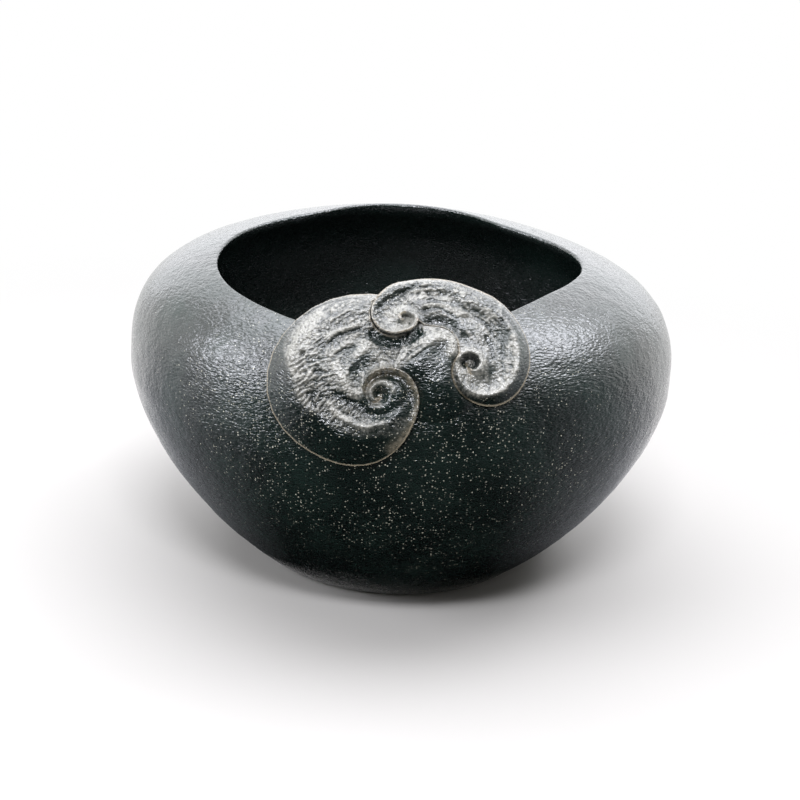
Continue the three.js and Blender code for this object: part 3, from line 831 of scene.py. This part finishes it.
class TEABASIN_OT_right_cap(Operator):
    """Carves the right cap: a curl, an arch with growth lines along it, and a volute"""

    bl_idname = "tea_basin.right_cap"
    bl_label = "Right cap"

    def execute(self, context):
        carving = context.scene.tea_basin_carving
        depth = carving.wrinkle_depth

        def dry(place):
            """1 on the dry part and 0 on the waxed edge beyond it."""
            r, turn = polar(place, VOLUTE_EYE)
            last = at_angle(VOLUTE_DRY_TO, turn)
            return 1 - smooth(r, last - 0.6, last + 0.8)

        def wrinkle(place):
            """Lines along the arch, rougher in its outer half and nearly none in its two eyes."""
            r, turn = polar(place, STEM_MIDDLE)
            way = SCROLL_RADIUS * ((turn + 1.6) % (2 * math.pi))
            outer = smooth(r, 13.5, 17.5)
            along = streaks(r, way, width=0.8, length=7, layer=11)
            across = lumps(way / 1.6, r / 3, 15)
            rough = (0.3 + 0.5 * outer) * along
            rough += outer * (0.7 * crumple(place, layer=12) + 0.4 * across - 0.5)
            rough += 0.3 * crumple(place, layer=17) - 0.6
            eyes = smooth(polar(place, VOLUTE_EYE)[0], 2.8, 4)
            eyes *= smooth(polar(place, CURL_EYE)[0], 2.5, 4)
            rise = (drawn(RIGHT_STROKES, place)[0] - 0.05) * MM
            return depth * dry(place) * rough * (0.2 + 0.8 * eyes) + rise

        def dust_and_light_of(place, normal, height):
            """Dust on the dry part, but none in the volute's deep groove, which stays dark as painted
            shade.
            """
            r = polar(place, VOLUTE_EYE)[0]
            clear = 1 - smooth(r, 0.7, 1.1) * (1 - smooth(r, 1.7, 2.2))
            base = 1.15 * dry(place) + drawn(RIGHT_STROKES, place)[1]
            return max(0.0, base) * clear * dust_with_painted_light(place, normal, height + 0.3 * depth, depth)

        def rim_of(place, edge):
            return edge

        carve("right_cap", "right_fungus_cap", wrinkle, dust_and_light_of, rim_of, passes=7)
        return {"FINISHED"}


def above_crest(place):
    """How far a spot is above the line of the stem's crest, in millimetres, or below it as a minus."""
    best = None
    for a, b in zip(STEM_CREST, STEM_CREST[1:]):
        away = (place - nearest_on(place, a, b)).length
        side = (b - a).x * (place - a).y - (b - a).y * (place - a).x
        if best is None or away < abs(best) - 1e-9:
            best = math.copysign(away, side)
    return best


class TEABASIN_OT_stem(Operator):
    """Carves the stem's smooth ridge between the caps"""

    bl_idname = "tea_basin.stem"
    bl_label = "Stem"

    def execute(self, context):
        carving = context.scene.tea_basin_carving

        def wrinkle(place):
            """A smooth dome below the crest, a crumpled slope above it and a foot that sinks away."""
            over = above_crest(place)
            crest = math.exp(-((over / 1.1) ** 2)) * smooth(place.y, -14, -12)
            soft = noise.noise(Vector((place.x / 3, place.y / 5, 4)))
            dry = smooth(over, -0.6, 0.6) * smooth(place.y, -19, -16)
            rough = 0.2 * soft + 0.9 * crest + dry * (crumple(place, layer=21) - 0.5)
            r, turn = polar(place, STEM_MIDDLE)
            foot = FOOT_SINK * smooth(r, 10, 13) * smooth(-math.sin(turn), 0, 0.5)
            return carving.wrinkle_depth * rough + (drawn(STEM_STROKES, place)[0] - foot) * MM

        def dust_and_light_of(place, normal, height):
            # Dust above the crest and none on the dome below it, which faces down and out and stays
            # dark: partly dust and wax, partly painted light from above and painted shade below
            base = smooth(above_crest(place), -0.9, 0.3) + drawn(STEM_STROKES, place)[1]
            return max(0.0, base) * dust_with_painted_light(place, normal, height, carving.wrinkle_depth)

        def rim_of(place, edge):
            return 0.0

        carve("stem", "fungus_stem", wrinkle, dust_and_light_of, rim_of, passes=10)
        return {"FINISHED"}


WHITE = (1, 1, 1, 1)
PAPER_RADIUS = 4.0
# Distances from the axis: the paper shows the shadow up to the first and is plain white past the second
SHADOW_NEAR, SHADOW_FAR = 0.12, 0.32
# The soft boxes: name, place, width and height, and how bright each looks, where white is 1
SOFT_BOXES = [
    ("top_box", (0.0, 0.1, 0.70), (1.1, 0.6), 3.4),
    ("front_box", (0.0, -0.50, 0.62), (0.26, 0.10), 36.0),
    ("back_box", (0.0, 0.75, 0.35), (1.4, 0.6), 0.7),
    ("left_box", (-0.39, -0.165, 0.22), (0.26, 0.16), 8.3),
    ("right_box", (0.35, 0.11, 0.50), (0.26, 0.22), 4.3),
]
LAMP_AIM = Vector((0, 0, 0.05))


def seen_white(tree, at):
    """1 for the rays that meet plain white: from the camera, off a glossy surface or through glass."""
    x, y = at
    path = add(tree, "ShaderNodeLightPath", (x, y)).outputs
    seen = maths(tree, (x + 200, y), "MAXIMUM", path["Is Camera Ray"], path["Is Glossy Ray"])
    return maths(tree, (x + 350, y), "MAXIMUM", seen, path["Is Transmission Ray"])


def studio_paper(paper):
    """Matt white paper: it takes the basin's soft shadow near it and is plain white further out."""
    material, tree = new_material("studio_paper")
    place = add(tree, "ShaderNodeTexCoord", (-1000, 0)).outputs["Object"]
    away = add(
        tree, "ShaderNodeVectorMath", (-800, 0), {0: place}, operation="LENGTH",
    ).outputs["Value"]
    far = ramp(tree, (-600, 0), away, SHADOW_NEAR, SHADOW_FAR, kind="SMOOTHSTEP")
    share = maths(tree, (-100, 150), "MULTIPLY", far, seen_white(tree, (-600, 300)))
    matt = add(tree, "ShaderNodeBsdfDiffuse", (-100, -50), {"Color": rgba(paper)}).outputs[0]
    white = add(
        tree, "ShaderNodeEmission", (-100, -250), {"Color": WHITE, "Strength": 1.0},
    ).outputs[0]
    mixed = add(tree, "ShaderNodeMixShader", (150, 0), {0: share, 1: matt, 2: white}).outputs[0]
    add(tree, "ShaderNodeOutputMaterial", (350, 0), {"Surface": mixed})
    return material


def white_air(ambient):
    """The air round the basin: plain white where it is seen, itself or in a reflection, and an even
    soft light on everything."""
    world = bpy.data.worlds.new("white_air")
    world.use_nodes = True
    tree = world.node_tree
    tree.nodes.clear()
    white = seen_white(tree, (-900, 0))
    strength = add(
        tree, "ShaderNodeMix", (-400, 0), {0: white, 2: ambient, 3: 1.0}, data_type="FLOAT",
    ).outputs[0]
    air = add(
        tree, "ShaderNodeBackground", (-200, 0), {"Color": WHITE, "Strength": strength},
    ).outputs[0]
    add(tree, "ShaderNodeOutputWorld", (0, 0), {"Surface": air})
    bpy.context.scene.world = world


def cloth_strip(bm, low, high, left, right):
    """A strip of cloth round the axis, from one edge to another, each a radius and a level. It runs
    from left to right in degrees, where 0 is the front."""
    start = math.radians(left)
    ends = [
        bm.verts.new((radius * math.sin(start), -radius * math.cos(start), level))
        for radius, level in (low, high)
    ]
    edge = bm.edges.new(ends)
    bmesh.ops.spin(
        bm, geom=[*ends, edge], cent=(0, 0, 0), axis=(0, 0, 1), dvec=(0, 0, 0),
        angle=math.radians(right - left), steps=30, use_merge=False,
    )


def black_flag(near, far, height):
    """A cloth laid round the front and sides of the basin and hung up behind the camera, black in
    front, paler to the sides and thinned out at its ends. Only reflections show it: it keeps the
    front as dark as its stone."""
    mesh = bpy.data.meshes.new("black_flag")
    bm = bmesh.new()
    cloth_strip(bm, (near, 0.5 * MM), (far, 0.5 * MM), -130, 130)
    cloth_strip(bm, (far, 0.5 * MM), (far, height), -55, 95)
    bm.to_mesh(mesh)
    bm.free()
    material, tree = new_material("black_cloth")
    place = add(tree, "ShaderNodeTexCoord", (-900, 0)).outputs["Object"]
    side = add(tree, "ShaderNodeSeparateXYZ", (-700, 0), {0: place}).outputs
    back = maths(tree, (-550, -100), "MULTIPLY", side["Y"], -1.0)
    turn = maths(tree, (-400, 0), "ARCTAN2", side["X"], back)
    turn = maths(tree, (-250, 0), "ABSOLUTE", turn)
    grey = ramp(tree, (-100, 0), turn, math.radians(38), math.radians(125), 0.008, 0.4)
    cloth = add(tree, "ShaderNodeBsdfDiffuse", (100, 0), {"Color": grey}).outputs[0]
    thin = ramp(tree, (-100, 300), turn, math.radians(95), math.radians(130), kind="SMOOTHSTEP")
    gone = add(tree, "ShaderNodeBsdfTransparent", (100, -150)).outputs[0]
    faded = add(tree, "ShaderNodeMixShader", (300, 0), {0: thin, 1: cloth, 2: gone}).outputs[0]
    add(tree, "ShaderNodeOutputMaterial", (500, 0), {"Surface": faded})
    mesh.materials.append(material)
    flag = bpy.data.objects.new("black_flag", mesh)
    flag.visible_camera = False
    flag.visible_diffuse = False
    flag.visible_shadow = False
    bpy.context.scene.collection.objects.link(flag)


def soft_box(name, at, size, level):
    """A rectangular lamp that looks at the basin and looks that bright itself, where white is 1."""
    lamp = bpy.data.lights.new(name, "AREA")
    lamp.shape = "RECTANGLE"
    lamp.size, lamp.size_y = size
    lamp.energy = level * math.pi * size[0] * size[1]
    lamp.color = linear("#f4f6ff")
    holder = bpy.data.objects.new(name, lamp)
    holder.location = at
    holder.rotation_euler = (LAMP_AIM - Vector(at)).to_track_quat("-Z", "Y").to_euler()
    bpy.context.scene.collection.objects.link(holder)


def paper_floor(paper):
    """A wide round sheet of studio paper under the basin."""
    mesh = bpy.data.meshes.new("paper_floor")
    bm = bmesh.new()
    bmesh.ops.create_circle(bm, cap_ends=True, segments=96, radius=PAPER_RADIUS)
    bm.to_mesh(mesh)
    bm.free()
    mesh.materials.append(studio_paper(paper))
    floor = bpy.data.objects.new("paper_floor", mesh)
    bpy.context.scene.collection.objects.link(floor)


def set_camera(studio):
    """The camera in front of the basin, a little above it."""
    camera = bpy.data.cameras.new("camera")
    camera.sensor_width = 36
    camera.lens = studio.lens
    camera.clip_start = 0.01
    camera.shift_x, camera.shift_y = studio.shift
    holder = bpy.data.objects.new("camera", camera)
    away = Vector((0, -math.cos(studio.elevation), math.sin(studio.elevation)))
    holder.location = Vector((0, 0, studio.aim_height)) + away * studio.distance
    look = (-away).to_track_quat("-Z", "Y")
    holder.rotation_euler = (look @ Quaternion((0, 0, 1), studio.roll)).to_euler()
    bpy.context.scene.collection.objects.link(holder)
    bpy.context.scene.camera = holder


class TEABASIN_OT_stage(Operator):
    """Sets up the paper floor, the light tent, the soft boxes and the camera"""

    bl_idname = "tea_basin.stage"
    bl_label = "Stage"

    def execute(self, context):
        scene = context.scene
        paper_floor(scene.tea_basin_studio.paper)
        white_air(ambient=0.2)
        black_flag(near=0.038, far=0.5, height=0.36)
        for box in SOFT_BOXES:
            soft_box(*box)
        set_camera(scene.tea_basin_studio)
        scene.view_settings.view_transform = "Standard"
        return {"FINISHED"}


class TEABASIN_PT_sidebar(Panel):
    """Lists the basin's pieces and sizes in the sidebar"""

    bl_idname = "TEABASIN_PT_sidebar"
    bl_label = "Tea Basin"
    bl_space_type = "VIEW_3D"
    bl_region_type = "UI"
    bl_category = "Tea Basin"

    def draw(self, context):
        layout = self.layout
        scene = context.scene
        for group in (scene.tea_basin_stone, scene.tea_basin_carving, scene.tea_basin_studio):
            box = layout.box()
            for name in group.bl_rna.properties.keys():
                if name not in ("rna_type", "name"):
                    box.prop(group, name)
        for operator in OPERATORS:
            layout.operator(operator.bl_idname)


OPERATORS = (
    TEABASIN_OT_stage,
    TEABASIN_OT_bowl,
    TEABASIN_OT_left_cap,
    TEABASIN_OT_right_cap,
    TEABASIN_OT_stem,
)
SETTINGS = {
    "tea_basin_stone": TeaBasinStone,
    "tea_basin_carving": TeaBasinCarving,
    "tea_basin_studio": TeaBasinStudio,
}


def register():
    for group in (*SETTINGS.values(), *OPERATORS, TEABASIN_PT_sidebar):
        bpy.utils.register_class(group)
    for name, group in SETTINGS.items():
        setattr(bpy.types.Scene, name, PointerProperty(type=group))


def unregister():
    for name in SETTINGS:
        delattr(bpy.types.Scene, name)
    for group in reversed((*SETTINGS.values(), *OPERATORS, TEABASIN_PT_sidebar)):
        bpy.utils.unregister_class(group)


def main():
    register()
    bpy.ops.tea_basin.stage()
    bpy.ops.tea_basin.bowl()
    bpy.ops.tea_basin.left_cap()
    bpy.ops.tea_basin.right_cap()
    bpy.ops.tea_basin.stem()


if __name__ == "__main__":
    main()
